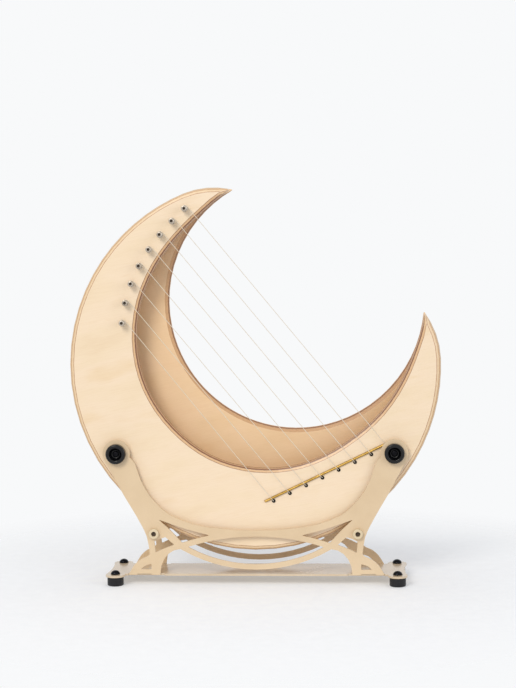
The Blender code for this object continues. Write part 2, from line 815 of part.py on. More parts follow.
def beside(start, end, share, offset):
    """Point a share of the way from start to end, offset to the left of that line."""
    line = end - start
    left = Vector((-line.y, line.x)).normalized()
    return start + line * share + left * offset


def web_top(x_share):
    """Upper edge of the cradle web, set in from the moon's outline."""
    table = [(0.0, WEB_OVERLAP), (11.6, WEB_OVERLAP - 0.0021), (21.5, WEB_OVERLAP - 0.0069),
             (30.0, WEB_OVERLAP - 0.0091)]
    inset = interpolate(table, x_share)
    angle = math.radians(-90 + x_share)
    radius = MOON_RADIUS - inset
    return Vector((radius * math.cos(angle), MOON_CENTRE_Z + radius * math.sin(angle)))


ARC_BOTTOM_Z = BASE_TOP_Z + LOWER_ARC_LIFT
ARC_CENTRE_Z = ARC_BOTTOM_Z + LOWER_ARC_RADIUS
WEB_TOP_Z = MOON_CENTRE_Z - MOON_RADIUS + WEB_OVERLAP
WEB_LOW_Z = WEB_TOP_Z - WEB_WIDTH


def on_lower_arc(x, radius):
    return Vector((x, ARC_CENTRE_Z - math.sqrt(radius ** 2 - x ** 2)))


def on_strip(x, lift=0.0):
    """Falling arc that carries the web down to the toe; lift is square to it."""
    radius = STRIP_RADIUS + lift
    return Vector((x, WEB_LOW_Z - STRIP_RADIUS + math.sqrt(radius ** 2 - x ** 2)))


def frame_outline():
    foot_z = BASE_TOP_Z
    tab_z = BASE_TOP_Z - TAB_DEPTH
    xs = [CROTCH_X * k / 7 for k in range(8)]
    under_arc = [on_lower_arc(x, LOWER_ARC_RADIUS) for x in xs]
    crotch = under_arc[-1]
    wide = LEG_START_X - crotch.x
    tall = crotch.y - foot_z
    leg_in = [Vector((crotch.x + wide * math.sin(math.radians(a)),
                      foot_z + tall * math.cos(math.radians(a)))) for a in range(18, 91, 18)]
    foot = [Vector((LEG_START_X, tab_z)), Vector((LEG_END_X, tab_z)), Vector((LEG_END_X, foot_z)),
            Vector((TOE_TAB_X, foot_z)), Vector((TOE_TAB_X, tab_z)), Vector((TOE_X, tab_z))]
    valley = Vector((VALLEY_X, foot_z + VALLEY_RISE))
    toe = Vector((TOE_X, foot_z))
    toe_out = smooth_run([toe, beside(toe, valley, 0.33, -0.0032), beside(toe, valley, 0.62, -0.0030),
                          valley + Vector((0.0035, -0.0032)), valley], 2)
    mount = mount_place(1)
    head = arc(mount, HEAD_RADIUS, -25, 196, 13)
    shares = [(0.16, 0.0058), (0.31, 0.0059), (0.46, 0.0045), (0.61, 0.0027), (0.79, 0.0015)]
    arm_out = smooth_run([valley] + [beside(valley, head[0], s, o) for s, o in shares] + [head[0]], 2)
    web = [web_top(a) for a in (30.0, 25.5, 21.5, 16.5, 11.6, 6.0, 0.0)]
    shares = [(0.12, -0.0009), (0.36, 0.0049), (0.62, 0.0067), (0.85, 0.0040)]
    arm_in = smooth_run([head[-1]] + [beside(head[-1], web[0], s, o) for s, o in shares] + [web[0]], 2)
    half = under_arc + leg_in + foot + toe_out + arm_out[1:] + head[1:] + arm_in[1:] + web[1:]
    return round_corners(both_halves(half), FRAME_CORNER, CORNER_SHARP_DEG)


def lens_cut():
    """Gap between the web and the lower arc, out to where their edges meet."""
    inner = LOWER_ARC_RADIUS - LOWER_ARC_WIDTH
    apart = ARC_CENTRE_Z - (WEB_LOW_Z - STRIP_RADIUS)
    share = (apart ** 2 + inner ** 2 - STRIP_RADIUS ** 2) / (2 * apart)
    reach = math.sqrt(inner ** 2 - share ** 2)
    xs = [reach * k / 6 for k in range(7)]
    low = [on_lower_arc(x, inner) for x in xs]
    high = [on_strip(x) for x in reversed(xs[:-1])]
    return round_corners(both_halves(low + high), CUT_ROUND)


def side_cuts():
    """Leaf, triangle and toe openings of the right half."""
    cross = cross_place(1)
    leaf_tip = cross + Vector((-0.0055, 0.0172))
    steps = [LEAF_LOW_INSET + (LEAF_IN_INSET - LEAF_LOW_INSET) * k / 3 for k in range(4)]
    strip = [on_strip(CROSS_X - inset, WEB_WIDTH - 0.0005) for inset in steps]
    leaf_low = strip[0]
    leaf_in = strip[-1]
    shares = [(0.25, -0.0008), (0.5, -0.0012), (0.75, -0.0008)]
    over = smooth_run([leaf_in] + [beside(leaf_in, leaf_tip, s, o) for s, o in shares] + [leaf_tip], 2)
    down = smooth_run([leaf_tip, beside(leaf_tip, leaf_low, 0.5, -0.0008), leaf_low], 3)
    leaf = over + down[1:] + strip[1:-1]

    left = cross + Vector((-0.0244, -0.0137))
    top = cross + Vector((-0.0138, -0.0044))
    right = cross + Vector((-0.0002, -0.0096))
    bottom = cross + Vector((-0.0016, -0.0232))
    triangle = [left, beside(left, bottom, 0.33, 0.0004), beside(left, bottom, 0.66, 0.0006), bottom,
                right, beside(right, top, 0.5, -0.0006), top]

    z = BASE_TOP_Z
    end = LEG_END_X + TOE_HOLE_LENGTH
    toe = [Vector((LEG_END_X, z + 0.0052)), Vector((end, z + 0.0052))]
    toe += smooth_run([Vector((end, z + 0.0060)), Vector((end - 0.0048, z + 0.0098)),
                       Vector((LEG_END_X, z + 0.0121))], 3)
    return [round_corners(leaf, CUT_ROUND), round_corners(triangle, CUT_ROUND),
            round_corners(toe, CUT_ROUND)]


def make_frames():
    loops = [frame_outline(), lens_cut()]
    for loop in side_cuts():
        loops += [loop, mirrored(loop)]
    for sign in SIDES.values():
        loops.append(circle(mount_place(sign), MOUNT_HOLE_RADIUS, SMALL_STEPS))
        loops.append(circle(cross_place(sign), CROSS_HOLE_RADIUS, SMALL_STEPS))
    mesh = flat_mesh("frame", loops, FRAME_THICKNESS)
    for face, sign in FACES.items():
        y = sign * (FRAME_IN_Y + FRAME_THICKNESS / 2)
        place(face + "_frame", mesh, BEIGE_STEEL, (0, y, 0), FACE_FRONT)


def make_mounts():
    cup = [(CUP_RADIUS, CUP_HEIGHT - 0.0012), (CUP_RADIUS, 0.0008), (CUP_RADIUS - 0.0008, 0.0),
           (MOUNT_HOLE_RADIUS, 0.0), (MOUNT_HOLE_RADIUS, CUP_FLOOR), (CUP_FLOOR_RADIUS, CUP_FLOOR),
           (CUP_BOWL_RADIUS, CUP_HEIGHT), (CUP_RADIUS - 0.0012, CUP_HEIGHT)]
    washer_length = STANDOFF - 2 * TOUCH_GAP
    washer = [(WASHER_RADIUS, washer_length), (WASHER_RADIUS, 0.0), (MOUNT_HOLE_RADIUS, 0.0),
              (MOUNT_HOLE_RADIUS, washer_length)]
    cup_y = FRAME_OUT_Y + TOUCH_GAP
    head_y = cup_y + CUP_FLOOR + TOUCH_GAP
    for side, sign in SIDES.items():
        centre = mount_place(sign)
        for face, turn in FACES.items():
            rotation = FACE_FRONT if face == "front" else FACE_BACK
            end = "_%s_%s" % (face, side)
            shade(turned("arm_cup" + end, cup, BLACK_PLASTIC, (centre.x, turn * cup_y, centre.y),
                         rotation))
            shade(turned("rubber_washer" + end, washer, BLACK_RUBBER,
                         (centre.x, turn * (BODY_HALF + TOUCH_GAP), centre.y), rotation))
        top = head_y + BOLT_HEAD_HEIGHT
        edge = 0.0004
        bolt = [(0.0, top), (BOLT_HEAD_RADIUS - edge, top), (BOLT_HEAD_RADIUS, top - edge),
                (BOLT_HEAD_RADIUS, head_y), (BOLT_RADIUS, head_y), (BOLT_RADIUS, -head_y),
                (BOLT_HEAD_RADIUS, -head_y), (BOLT_HEAD_RADIUS, edge - top),
                (BOLT_HEAD_RADIUS - edge, -top), (0.0, -top)]
        shade(turned("mount_bolt_" + side, bolt, BLACK_STEEL, (centre.x, 0, centre.y), FACE_FRONT,
                     SMALL_STEPS, closed=False))


def make_cross_ties():
    """Spacer tubes between the frames, each with a socket screw from front and back."""
    half = FRAME_IN_Y - TOUCH_GAP
    bore = SCREW_RADIUS + TOUCH_GAP
    tube = [(TUBE_RADIUS, half), (TUBE_RADIUS, -half), (bore, -half), (bore, half)]
    for side, sign in SIDES.items():
        centre = cross_place(sign)
        shade(turned("cross_tube_" + side, tube, BEIGE_STEEL, (centre.x, 0, centre.y), FACE_FRONT))
        for face, turn in FACES.items():
            rotation = FACE_FRONT if face == "front" else FACE_BACK
            floor = SCREW_HEAD_HEIGHT - SCREW_SOCKET_DEPTH
            screw = [(0.0, floor), (SCREW_SOCKET_RADIUS, floor),
                     (SCREW_SOCKET_RADIUS, SCREW_HEAD_HEIGHT),
                     (SCREW_HEAD_RADIUS - 0.0008, SCREW_HEAD_HEIGHT),
                     (SCREW_HEAD_RADIUS, SCREW_HEAD_HEIGHT - 0.0008), (SCREW_HEAD_RADIUS, 0.0),
                     (SCREW_RADIUS, 0.0), (SCREW_RADIUS, -SCREW_LENGTH), (0.0, -SCREW_LENGTH)]
            y = turn * (FRAME_OUT_Y + TOUCH_GAP)
            shade(turned("cross_screw_%s_%s" % (face, side), screw, BEIGE_STEEL,
                         (centre.x, y, centre.y), rotation, SMALL_STEPS, closed=False))


def make_feet():
    """Rubber feet, each with a moulded-in thread that takes a domed screw from above."""
    edge = 0.0008
    foot = [(0.0, FOOT_BORE_FLOOR), (FOOT_HOLE_RADIUS, FOOT_BORE_FLOOR),
            (FOOT_HOLE_RADIUS, FOOT_HEIGHT), (FOOT_RADIUS, FOOT_HEIGHT), (FOOT_RADIUS, edge),
            (FOOT_RADIUS - edge, 0.0), (0.0, 0.0)]
    low = BASE_TOP_Z + TOUCH_GAP
    dome = [(DOME_RADIUS * math.sin(math.radians(a)), low + DOME_HEIGHT * math.cos(math.radians(a)))
            for a in (0, 18, 36, 54, 72, 90)]
    shank = FOOT_HOLE_RADIUS - TOUCH_GAP
    tip = FOOT_BORE_FLOOR + TOUCH_GAP
    screw = dome + [(shank, low), (shank, tip), (0.0, tip)]
    for face, sy in FACES.items():
        for side, sx in SIDES.items():
            spot = (sx * FOOT_X, sy * FOOT_Y, 0)
            end = "_%s_%s" % (face, side)
            shade(turned("rubber_foot" + end, foot, BLACK_RUBBER, spot, closed=False))
            shade(turned("foot_screw" + end, screw, BLACK_STEEL, spot, (0, 0, 0), SMALL_STEPS,
                         closed=False))


make_front_plate()
make_back_plate()
make_rib_and_pin_block()
make_sleeves()
make_tail_block()
make_bridge()
make_grommets()
make_strings()
make_tuning_pins()
make_base()
make_frames()
make_mounts()
make_cross_ties()
make_feet()
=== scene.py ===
# %% [markdown]
# # A crescent lyre harp on its stand
# The real object is a moon-shaped harp body of birch plywood, held between two sheet
# metal frames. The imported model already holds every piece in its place. A model drawn
# afresh could drift from those solids, so this script keeps them and adds fine surfaces,
# finishes, light and a camera. Lengths are in metres and angles in radians unless a
# name says otherwise.

# %% Load the frame
import json
import math

import bmesh
import bpy
import numpy as np
from mathutils import Matrix, Vector


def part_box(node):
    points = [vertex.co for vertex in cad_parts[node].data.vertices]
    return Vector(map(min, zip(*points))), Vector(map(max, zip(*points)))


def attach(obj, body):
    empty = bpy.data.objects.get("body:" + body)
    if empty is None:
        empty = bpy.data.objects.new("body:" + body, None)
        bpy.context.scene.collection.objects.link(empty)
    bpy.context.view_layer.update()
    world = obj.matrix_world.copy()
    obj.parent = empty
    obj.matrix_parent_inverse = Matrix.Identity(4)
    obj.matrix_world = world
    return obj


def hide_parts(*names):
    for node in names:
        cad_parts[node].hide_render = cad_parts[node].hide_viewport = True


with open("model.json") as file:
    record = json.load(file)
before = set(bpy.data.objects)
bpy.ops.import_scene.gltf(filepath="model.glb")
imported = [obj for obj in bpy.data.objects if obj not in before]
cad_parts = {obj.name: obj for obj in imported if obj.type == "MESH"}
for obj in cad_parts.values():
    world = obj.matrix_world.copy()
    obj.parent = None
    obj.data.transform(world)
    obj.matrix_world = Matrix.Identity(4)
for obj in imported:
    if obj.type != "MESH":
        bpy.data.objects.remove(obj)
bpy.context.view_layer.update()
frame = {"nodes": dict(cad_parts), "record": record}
NODES = frame["nodes"]
JOINTS = frame["record"]["behaviour"]["joints"]
HARP = "harp_on_stand"
MM = 0.001

# %% [markdown]
# ## Nodes and colours
# A finish is a small tree of shader nodes. It could be drawn by hand in the shader
# editor, but a script is easier to read and to repeat. One function adds a node, sets
# or links its inputs and hands back one output, so that each recipe reads as a list of
# steps. Colours are sRGB hex codes, turned to linear light in one place, because
# shaders multiply light and hex codes are not light.

# %% Nodes and colours
def linear(code):
    """Linear light of an sRGB hex colour, by the standard curve for each channel."""
    values = [int(code[i:i + 2], 16) / 255 for i in (1, 3, 5)]
    light = [v / 12.92 if v <= 0.04045 else ((v + 0.055) / 1.055) ** 2.4 for v in values]
    return (*light, 1.0)


def add(tree, kind, inputs=(), out=0, stops=None, **settings):
    """Add a shader node and return one of its outputs. Inputs go by name or in order: a
    socket is linked and a plain value is set. stops are a ramp's (position, hex) pairs."""
    node = tree.nodes.new("ShaderNode" + kind)
    for key, value in settings.items():
        setattr(node, key, value)
    for key, value in inputs.items() if isinstance(inputs, dict) else enumerate(inputs):
        if isinstance(value, bpy.types.NodeSocket):
            tree.links.new(value, node.inputs[key])
        else:
            node.inputs[key].default_value = value
    if stops:
        elements = node.color_ramp.elements
        while len(elements) < len(stops):
            elements.new(0.5)
        for element, (position, code) in zip(elements, stops):
            element.position = position
            element.color = linear(code)
    return node.outputs[out]


def new_finish(name, **values):
    """Material with plain values on its shader, and the object coordinates it reads."""
    material = bpy.data.materials.new(name)
    material.use_nodes = True
    tree = material.node_tree
    shader = tree.nodes["Principled BSDF"]
    for key, value in values.items():
        shader.inputs[key.replace("_", " ")].default_value = value
    return material, tree, shader, add(tree, "TexCoord", out="Object")


def lay_on(tree, shader, **patterns):
    """Link patterns to the shader inputs that they drive."""
    for key, socket in patterns.items():
        tree.links.new(socket, shader.inputs[key.replace("_", " ")])


print("white is", [round(v, 3) for v in linear("#FFFFFF")])

# %% [markdown]
# ## One pattern for every grain
# Wood fibre, powder grit and drawing marks are all lumps of a known size that are longer
# one way than another. Picture textures would need a camera and a flat sample. Noise on
# stretched coordinates gives the same look, and its scale comes from the real size: a
# lump of so many millimetres repeats 1000 over that number times in a metre.

# %% Grain
def grain(tree, place, cycles, detail, rough=0.55, turn=(0, 0, 0)):
    """Cloudy value from 0 to 1, with so many cycles per metre in x, y and z, or the same
    every way when one number is given, after the coordinates are turned."""
    scale = np.broadcast_to(np.asarray(cycles, float), 3).tolist()
    turned = add(tree, "Mapping", {"Vector": place, "Rotation": turn})
    scaled = add(tree, "Mapping", {"Vector": turned, "Scale": scale})
    return add(tree, "TexNoise", {"Vector": scaled, "Scale": 1.0, "Detail": detail,
                                  "Roughness": rough})


print("a lump of 2 mm takes", 1000 // 2, "cycles per metre")

# %% [markdown]
# ## Birch veneer
# The two crescents are routed from 7 mm birch ply. Their faces show pale rotary-cut
# veneer: long soft clouds that barely differ from cream, and a few fibre flecks. A
# picture of wood would need a flat sample of the right board. Three noises of different
# lengths, all turned the same way, give the clouds, the fibres and the flecks.

# %% Veneer
PLATE_FACE = 24.0 * MM
PLATE_INSIDE = 17.0 * MM
MOON_CENTRE = (0.0, 0.0, 0.2633)
BOARD_TURN = (0, math.radians(12), 0)


def veneer(tree, place):
    """Face colour and fibre height: clouds tint the cream, fibres darken it a little, and
    flecks show where a third noise is highest."""
    clouds = grain(tree, place, (9, 9, 26), 4, turn=BOARD_TURN)
    cream = add(tree, "ValToRGB", [clouds], stops=[(0.30, "#E9D1AF"), (0.46, "#EED8B8"),
                                                   (0.58, "#F0DABD"), (0.72, "#EBD2AE")])
    # Birch vessels are about 0.1 mm wide. They are drawn several times coarser to show.
    fibres = grain(tree, place, (60, 900, 1500), 5, 0.65, BOARD_TURN)
    streak = add(tree, "ValToRGB", [fibres], stops=[(0.30, "#E2CCAA"), (0.55, "#FFFFFF"),
                                                    (0.75, "#FFFBF4")])
    body = add(tree, "Mix", {0: 0.15, 6: cream, 7: streak}, 2, data_type="RGBA",
               blend_type="MULTIPLY")
    flecks = grain(tree, place, (170, 900, 1300), 2, 0.5, BOARD_TURN)
    dark = add(tree, "MapRange", (flecks, 0.74, 0.84, 0.0, 0.25))
    return add(tree, "Mix", {0: dark, 6: body, 7: linear("#C9A274")}, 2, data_type="RGBA"), fibres


def from_moon_centre(tree, place):
    """Distance from the moon's axis: the length of (x, z) about its centre."""
    centred = add(tree, "VectorMath", (place, MOON_CENTRE), operation="SUBTRACT")
    flat = add(tree, "VectorMath", (centred, (1.0, 0.0, 1.0)), operation="MULTIPLY")
    return add(tree, "VectorMath", [flat], "Value", operation="LENGTH")


print("the veneer's figure leans", round(math.degrees(BOARD_TURN[1])), "degrees")

# %% [markdown]
# ## Plies on the edges
# The rounded edges cut through the plies, so thin brown glue lines follow the outline.
# The routed inner edges are coloured darker than the sanded outer ones, as painted shade.
# A picture would smear over the rounding. Depth in the plate does not: every ply lies at
# one depth, so depth alone decides where a line falls. The glue lines are drawn about
# 0.4 mm thick, coarser than real ones, so that they show.

# %% Plywood with its plies
SKIN = 0.06 * MM
GLUE_WAVER = 0.06 * MM
INNER_EDGE_WITHIN = (206 * MM, 213 * MM)
SANDED = ("#A87048", "#EBD0A9", "#E0C094", "#CBA274")


def ply_layers(tree, through, border, cream, tan, glue):
    """Colour against the share of the way through: a border line under the face, then
    cream and tan plies with glue lines between them."""
    return add(tree, "ValToRGB", [through], stops=[
        (0.0, border), (0.028, border), (0.045, cream), (0.17, cream), (0.18, glue),
        (0.235, glue), (0.25, tan), (0.38, tan), (0.39, glue), (0.445, glue), (0.46, cream),
        (0.62, cream), (0.63, glue), (0.685, glue), (0.70, tan), (0.78, tan), (0.79, glue),
        (0.845, glue), (0.86, cream), (1.0, cream)])


def skin_share(tree, depth, face_y, other_y):
    """1 on the flat face at face_y, falling to 0 a skin's thickness towards other_y."""
    under = face_y + math.copysign(SKIN, other_y - face_y)
    return add(tree, "MapRange", (depth, face_y, under, 1.0, 0.0))


def plywood(name, face_y, inside_y, warm_bounce_inside, shaded_inner_palette):
    """Plate whose depth from face_y to inside_y shows the plies on its rounded edges."""
    material, tree, shader, place = new_finish(name, Coat_Weight=0.5, Coat_Roughness=0.22)
    colour, fibres = veneer(tree, place)
    depth = add(tree, "SeparateXYZ", [place], "Y")
    wander = grain(tree, place, 260, 2)
    waver = add(tree, "MapRange", (wander, 0.3, 0.7, -GLUE_WAVER, GLUE_WAVER))
    wavy = add(tree, "Math", (depth, waver), operation="ADD")
    through = add(tree, "MapRange", (wavy, face_y, inside_y, 0.0, 1.0))
    # Painted shade: within these radii the inner edges take the darker palette.
    inner = add(tree, "MapRange", (from_moon_centre(tree, place), *INNER_EDGE_WITHIN, 1.0, 0.0))
    edge = add(tree, "Mix", {0: inner, 6: ply_layers(tree, through, *SANDED),
                             7: ply_layers(tree, through, *shaded_inner_palette)}, 2, data_type="RGBA")
    face = skin_share(tree, depth, face_y, inside_y)
    # Painted warm bounce light: the back plate's inside face, seen in the shaded trough, is tinted
    # warmer.
    if warm_bounce_inside:
        inside = skin_share(tree, depth, inside_y, face_y)
        bounce_warmth = add(tree, "Mix", {0: 1.0, 6: colour, 7: linear("#FFF0DC")}, 2,
                   data_type="RGBA", blend_type="MULTIPLY")
        colour = add(tree, "Mix", {0: inside, 6: colour, 7: bounce_warmth}, 2, data_type="RGBA")
        face = add(tree, "Math", (face, inside), operation="MAXIMUM")
    ends = grain(tree, place, (300, 2600, 300), 3)
    shade = add(tree, "ValToRGB", [ends], stops=[(0.3, "#B99468"), (0.7, "#FFFFFF")])
    edge = add(tree, "Mix", {0: 0.22, 6: edge, 7: shade}, 2, data_type="RGBA",
               blend_type="MULTIPLY")
    lay_on(tree, shader,
           Base_Color=add(tree, "Mix", {0: face, 6: edge, 7: colour}, 2, data_type="RGBA"),
           Roughness=add(tree, "MapRange", (fibres, 0.2, 0.8, 0.60, 0.46)),
           Normal=add(tree, "Bump", {"Height": fibres, "Distance": 0.02 * MM, "Strength": 0.35}))
    return material


# Front: a pale cloudy face, a thin brown border line and a routed inner edge with glue lines,
# darker as painted shade.
front_ply = plywood("birch_ply_front", -PLATE_FACE, -PLATE_INSIDE, False,
                    ("#8C5632", "#DDB688", "#B27E4C", "#703E22"))
# Back: the same sheet, with a routed inner edge darkened as painted shade, that frames the open
# middle.
back_ply = plywood("birch_ply_back", PLATE_FACE, PLATE_INSIDE, True,
                   ("#8A5636", "#CFA374", "#A8764A", "#704024"))
print("plywood finishes:", front_ply.name, back_ply.name)

# %% [markdown]
# ## Bent rib and hardwood blocks
# The rib is thin birch bent round the outline, so its grain runs round the moon. An
# unwrapped strip could carry that grain. An angle about the moon's centre times the
# radius gives the same length along the rib with no unwrapping. The blocks inside are
# beech: pinkish brown, with short ray flecks.

# %% Rib and blocks
RIB_RADIUS = 220 * MM


def bent_birch():
    """Length along the rib is the angle about the moon's centre times its radius."""
    material, tree, shader, place = new_finish("birch_rib", Coat_Weight=0.3, Coat_Roughness=0.3)
    centred = add(tree, "VectorMath", (place, MOON_CENTRE), operation="SUBTRACT")
    parts = add(tree, "SeparateXYZ", [centred]).node.outputs
    angle = add(tree, "Math", (parts["Z"], parts["X"]), operation="ARCTAN2")
    along = add(tree, "Math", (angle, RIB_RADIUS), operation="MULTIPLY")
    strip = add(tree, "CombineXYZ", (along, parts["Y"]))
    fibres = grain(tree, strip, (30, 1400, 1), 5, 0.6)
    clouds = grain(tree, strip, (8, 60, 1), 3)
    body = add(tree, "ValToRGB", [clouds], stops=[(0.3, "#DDBD90"), (0.7, "#EBCFA8")])
    streak = add(tree, "ValToRGB", [fibres], stops=[(0.3, "#C9A578"), (0.6, "#FFFFFF")])
    lay_on(tree, shader,
           Base_Color=add(tree, "Mix", {0: 0.45, 6: body, 7: streak}, 2, data_type="RGBA",
                          blend_type="MULTIPLY"),
           Roughness=add(tree, "MapRange", (fibres, 0.2, 0.8, 0.6, 0.45)),
           Normal=add(tree, "Bump", {"Height": fibres, "Distance": 0.05 * MM, "Strength": 0.5}))
    return material


def beech():
    """Fibres tint the body, and rays darken it where their noise is highest."""
    material, tree, shader, place = new_finish("beech_block")
    turn = (0, 0.5, 0)
    fibres = grain(tree, place, (50, 700, 900), 4, turn=turn)
    rays = grain(tree, place, (500, 200, 1800), 1, turn=turn)
    body = add(tree, "ValToRGB", [fibres], stops=[(0.3, "#A87650"), (0.7, "#C8966A")])
    dark = add(tree, "MapRange", (rays, 0.62, 0.7, 0.0, 0.5))
    lay_on(tree, shader,
           Base_Color=add(tree, "Mix", {0: dark, 6: body, 7: linear("#7E5234")}, 2,
                          data_type="RGBA"),
           Roughness=add(tree, "MapRange", (fibres, 0.3, 0.7, 0.7, 0.55)),
           Normal=add(tree, "Bump", {"Height": fibres, "Distance": 0.05 * MM, "Strength": 0.6}))
    return material


# The rib shows long streaks that follow the bend.
birch_rib = bent_birch()
# The blocks show dull pinkish wood with short dark flecks.
beech_block = beech()
print("wood finishes:", birch_rib.name, beech_block.name)

# %% [markdown]
# ## Powder-coated steel
# Frames and base are laser-cut sheet with a baked beige powder coat. Powder flows into a
# skin with a fine orange-peel ripple near 1 mm across. A flat colour would look like
# plastic, so the ripple bends the highlight and a slow drift moves colour and gloss.

# %% Powder coat
def powder_coat(name, low, high, rough):
    """Drift sets colour and gloss; grit of 0.3 mm and peel of 1.1 mm make the relief."""
    material, tree, shader, place = new_finish(name, Coat_Weight=0.25, Coat_Roughness=0.2)
    drift = grain(tree, place, 22, 3)
    grit = grain(tree, place, 3200, 2)
    peel = grain(tree, place, 900, 2, 0.4)
    sand = add(tree, "ValToRGB", [drift], stops=[(0.3, low), (0.7, high)])
    specks = add(tree, "ValToRGB", [grit], stops=[(0.35, "#B08F62"), (0.6, "#FFFFFF")])
    ripple = add(tree, "Bump", {"Height": peel, "Distance": 0.03 * MM, "Strength": 0.5})
    lay_on(tree, shader,
           Base_Color=add(tree, "Mix", {0: 0.10, 6: sand, 7: specks}, 2, data_type="RGBA",
                          blend_type="MULTIPLY"),
           Roughness=add(tree, "MapRange", (drift, 0.3, 0.7, rough - 0.06, rough + 0.06)),
           Normal=add(tree, "Bump", {"Height": grit, "Distance": 0.006 * MM, "Strength": 0.4,
                                     "Normal": ripple}))
    return material


# Satin sand colour whose ripple softens the lamp's reflection.
frame_coat = powder_coat("beige_powder_frame", "#D8BF9B", "#E1C9A6", 0.40)
# The base is smoother, so it mirrors the pale room and looks greyer.
base_coat = powder_coat("beige_powder_base", "#CDB99D", "#D6C4AA", 0.22)
# The screws are a shade lighter and read as bright rings.
screw_coat = powder_coat("beige_powder_screw", "#D6C3A0", "#E0CFAE", 0.32)
print("coats:", frame_coat.name, base_coat.name, screw_coat.name)

# %% [markdown]
# ## Metals
# The bar is drawn brass, the pins are nickel plate and the bolts are black oxide. All
# could share one shiny shader with the default IOR. What tells them apart is tint and
# the way the highlight breaks, so each gets marks of its own size and direction: lines
# round the rod, faint smears on the plate, an even dark skin on the bolts.

# %% Metals
BAR_SLOPE = math.radians(25.5)
SMEARS_PER_METRE = 90


def metal(name, low, high, rough_low, rough_high, marks, turn=(0, 0, 0)):
    """Smears set the tint, and marks of so many cycles set gloss and relief."""
    material, tree, shader, place = new_finish(name, Metallic=1.0)
    lines = grain(tree, place, marks, 4, 0.6, turn)
    smears = grain(tree, place, SMEARS_PER_METRE, 3)
    lay_on(tree, shader,
           Base_Color=add(tree, "ValToRGB", [smears], stops=[(0.3, low), (0.7, high)]),
           Roughness=add(tree, "MapRange", (lines, 0.3, 0.7, rough_low, rough_high)),
           Normal=add(tree, "Bump", {"Height": lines, "Distance": 0.01 * MM, "Strength": 0.3}))
    return material


# Olive gold with a soft bright line along the top of the rod.
brass = metal("polished_brass", "#A07F3E", "#C3A05A", 0.24, 0.38, (4000, 300, 300),
              (0, BAR_SLOPE, 0))
# Warm grey that mirrors the pale room and the wood round it.
nickel = metal("nickel_plate", "#A79B8D", "#C9BFB2", 0.16, 0.30, (900, 4000, 900))
# Near black, with a dull grey glint on its edges.
black_oxide = metal("black_oxide_steel", "#141416", "#232327", 0.22, 0.38, 1500)
print("metals:", brass.name, nickel.name, black_oxide.name)

# %% [markdown]
# ## Plastics, rubber and nylon
# Cups and bushes are moulded plastic and the feet are moulded rubber. Their colour alone
# is nearly the same black, so gloss has to tell them apart: a mould leaves a faint flow
# in the colour and a fine skin of about half a millimetre that breaks the highlight.
# Nylon string is milky and so thin that a pale grey-tan with a soft gloss is enough.

# %% Plastics, rubber and nylon
FLOWS_PER_METRE = 140


def moulded(name, low, high, rough, coat, ripple, specular=0.25):
    """Flow sets the tint, and a ripple of so many cycles sets gloss and relief."""
    material, tree, shader, place = new_finish(name, Coat_Weight=coat, Coat_Roughness=0.06,
                                               Specular_IOR_Level=specular)
    flow = grain(tree, place, FLOWS_PER_METRE, 3)
    fine = grain(tree, place, ripple, 2)
    lay_on(tree, shader,
           Base_Color=add(tree, "ValToRGB", [flow], stops=[(0.3, low), (0.7, high)]),
           Roughness=add(tree, "MapRange", (fine, 0.3, 0.7, rough - 0.05, rough + 0.07)),
           Normal=add(tree, "Bump", {"Height": fine, "Distance": 0.012 * MM, "Strength": 0.35}))
    return material


def nylon():
    """A cloud of 2 mm moves tint and gloss a little."""
    material, tree, shader, place = new_finish("milky_nylon", IOR=1.53)
    cloud = grain(tree, place, 500, 2)
    lay_on(tree, shader,
           Base_Color=add(tree, "ValToRGB", [cloud], stops=[(0.3, "#D6C9B4"), (0.7, "#E6DBC9")]),
           Roughness=add(tree, "MapRange", (cloud, 0.3, 0.7, 0.30, 0.44)))
    return material


# Deep black with sharp, narrow highlights.
cup_plastic = moulded("black_moulded_plastic", "#050506", "#0B0B0D", 0.20, 0.22, 1800)
# Dull black beads that read as holes from afar.
bush_plastic = moulded("grommet_plastic", "#020203", "#060607", 0.45, 0.0, 2500, 0.08)
# Greyer and softer than the cups.
rubber = moulded("black_rubber", "#101012", "#1B1B1F", 0.52, 0.15, 2200)
# Painted shade: dull brown-grey on the socket's walls and floor, where the recess lies in shade.
socket_shade = moulded("painted_socket_shade", "#4A3D31", "#665849", 0.5, 0.0, 1500)
# Pale line with a soft gloss.
string_nylon = nylon()
print("finishes so far:", len(bpy.data.materials))

# %% [markdown]
# ## Finishing the carried-over nodes
# Plates, rib, blocks, bar, tubes, frames and base already have the right shape. Copies
# would only add weight, so these nodes keep their own surface and take a finish. A table
# of name beginnings says which.

# %% Finish the nodes
FINISHES = [("front_plate", front_ply), ("back_plate", back_ply), ("outer_rib", birch_rib),
            ("pin_block", beech_block), ("tail_block", beech_block),
            ("mount_sleeve", black_oxide), ("mount_bolt", black_oxide),
            ("foot_screw", black_oxide), ("bridge_bar", brass), ("tuning_pin", nickel),
            ("string_grommet", bush_plastic), ("string", string_nylon),
            ("arm_cup", cup_plastic), ("rubber", rubber), ("base_plate", base_coat),
            ("front_frame", frame_coat), ("back_frame", frame_coat),
            ("cross_tube", frame_coat), ("cross_screw", screw_coat)]

for name, node in NODES.items():
    node.data.materials.clear()
    node.data.materials.append(next(made for start, made in FINISHES if name.startswith(start)))
print("finished", len(NODES), "nodes")

# %% [markdown]
# ## Surfaces from numbers
# Cups, bolts, screws, feet, pins and bushes are turned parts. They could be lathed with a
# Screw modifier, but a socket or a knurl breaks the circle. A grid of points can hold
# both: a profile of (radius, height) down the rows, an angle along the columns, and a
# factor on the radius where the part isn't round. Each corner of a profile is eased by a
# short curve, which gives a turned edge its highlight.

